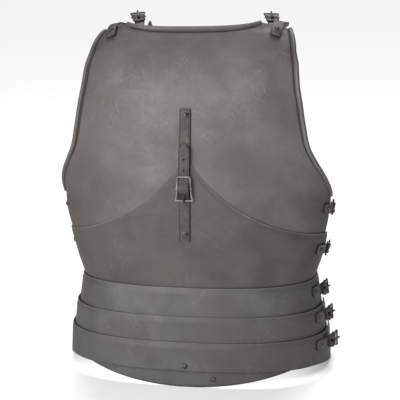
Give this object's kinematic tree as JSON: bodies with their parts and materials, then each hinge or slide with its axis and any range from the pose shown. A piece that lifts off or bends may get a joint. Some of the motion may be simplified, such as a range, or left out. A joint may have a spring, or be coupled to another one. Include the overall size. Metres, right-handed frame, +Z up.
{
  "type": "steel breastplate with plackart and fauld",
  "caption": "Rounded steel breastplate with rolled edges, an overlapping plackart and fauld lames, joined by a central buckled strap, with open side and shoulder buckles.",
  "frame": {"origin": "bottom centre of the bounding box, on the surface that the armour stands on", "axes": "+Z up, -Y out of the front of the chest, +X towards the wearer's left"},
  "size_m": [0.4104, 0.2394, 0.5112],
  "materials": {
    "plate_steel": "dull oiled steel with cloudy staining and fine scratches",
    "buckle_steel": "dull steel, worn brighter on the corners",
    "rivet_steel": "dark hammered steel, brighter on the domes",
    "strap_leather": "aged dark brown-grey leather, semi-matt"
  },
  "bodies": {
    "root": {"centre_buckle": "buckle_steel", "centre_lower_rivet": "rivet_steel", "centre_lower_strap": "strap_leather", "centre_tongue": "buckle_steel", "centre_upper_rivet": "rivet_steel", "centre_upper_strap": "strap_leather", "fauld_lame_1": "plate_steel", "fauld_lame_2": "plate_steel", "fauld_lame_3": "plate_steel", "fauld_lame_4": "plate_steel", "fauld_leather": "strap_leather", "fauld_rivet_low": "rivet_steel", "fauld_rivet_middle": "rivet_steel", "left_shoulder_buckle": "buckle_steel", "left_shoulder_rivet": "rivet_steel", "left_shoulder_strap": "strap_leather", "neck_tab": "strap_leather", "plackart": "plate_steel", "right_chest_strap": "strap_leather", "right_lame_1_strap": "strap_leather", "right_lame_2_strap": "strap_leather", "right_lame_3_strap": "strap_leather", "right_shoulder_buckle": "buckle_steel", "right_shoulder_rivet": "rivet_steel", "right_shoulder_strap": "strap_leather", "right_waist_strap": "strap_leather", "side_chest_buckle": "buckle_steel", "side_chest_rivet": "rivet_steel", "side_chest_strap": "strap_leather", "side_lame_1_buckle": "buckle_steel", "side_lame_1_rivet": "rivet_steel", "side_lame_1_strap": "strap_leather", "side_lame_2_buckle": "buckle_steel", "side_lame_2_rivet": "rivet_steel", "side_lame_2_strap": "strap_leather", "side_lame_3_buckle": "buckle_steel", "side_lame_3_rivet": "rivet_steel", "side_lame_3_strap": "strap_leather", "side_waist_buckle": "buckle_steel", "side_waist_rivet": "rivet_steel", "side_waist_strap": "strap_leather", "upper_breastplate": "plate_steel"},
    "left_shoulder_tongue": {"left_shoulder_tongue": "buckle_steel"},
    "right_shoulder_tongue": {"right_shoulder_tongue": "buckle_steel"},
    "side_chest_tongue": {"side_chest_tongue": "buckle_steel"},
    "side_waist_tongue": {"side_waist_tongue": "buckle_steel"},
    "side_lame_1_tongue": {"side_lame_1_tongue": "buckle_steel"},
    "side_lame_2_tongue": {"side_lame_2_tongue": "buckle_steel"},
    "side_lame_3_tongue": {"side_lame_3_tongue": "buckle_steel"}
  },
  "joints": [
    {"name": "left_shoulder_tongue_hinge", "type": "hinge", "parent": "root", "child": "left_shoulder_tongue", "pos_m": [0.09541, 0.10105, 0.49853], "axis": [0.9768, 0.2099, -0.0429], "range_deg": [0, 120]},
    {"name": "right_shoulder_tongue_hinge", "type": "hinge", "parent": "root", "child": "right_shoulder_tongue", "pos_m": [-0.10806, 0.10118, 0.50147], "axis": [0.9559, 0.2833, 0.0781], "range_deg": [0, 120]},
    {"name": "side_chest_tongue_hinge", "type": "hinge", "parent": "root", "child": "side_chest_tongue", "pos_m": [0.19166, 0.01754, 0.23183], "axis": [-0.0908, -0.2084, -0.9738], "range_deg": [0, 120]},
    {"name": "side_waist_tongue_hinge", "type": "hinge", "parent": "root", "child": "side_waist_tongue", "pos_m": [0.18465, 0.01382, 0.17128], "axis": [-0.2679, -0.1986, -0.9428], "range_deg": [0, 120]},
    {"name": "side_lame_1_tongue_hinge", "type": "hinge", "parent": "root", "child": "side_lame_1_tongue", "pos_m": [0.18145, 0.01429, 0.1098], "axis": [0.1231, -0.185, -0.975], "range_deg": [0, 120]},
    {"name": "side_lame_2_tongue_hinge", "type": "hinge", "parent": "root", "child": "side_lame_2_tongue", "pos_m": [0.18899, 0.00173, 0.07509], "axis": [0.075, -0.1748, -0.9818], "range_deg": [0, 120]},
    {"name": "side_lame_3_tongue_hinge", "type": "hinge", "parent": "root", "child": "side_lame_3_tongue", "pos_m": [0.19542, -0.01405, 0.03969], "axis": [0.035, -0.1405, -0.9895], "range_deg": [0, 120]}
  ]
}
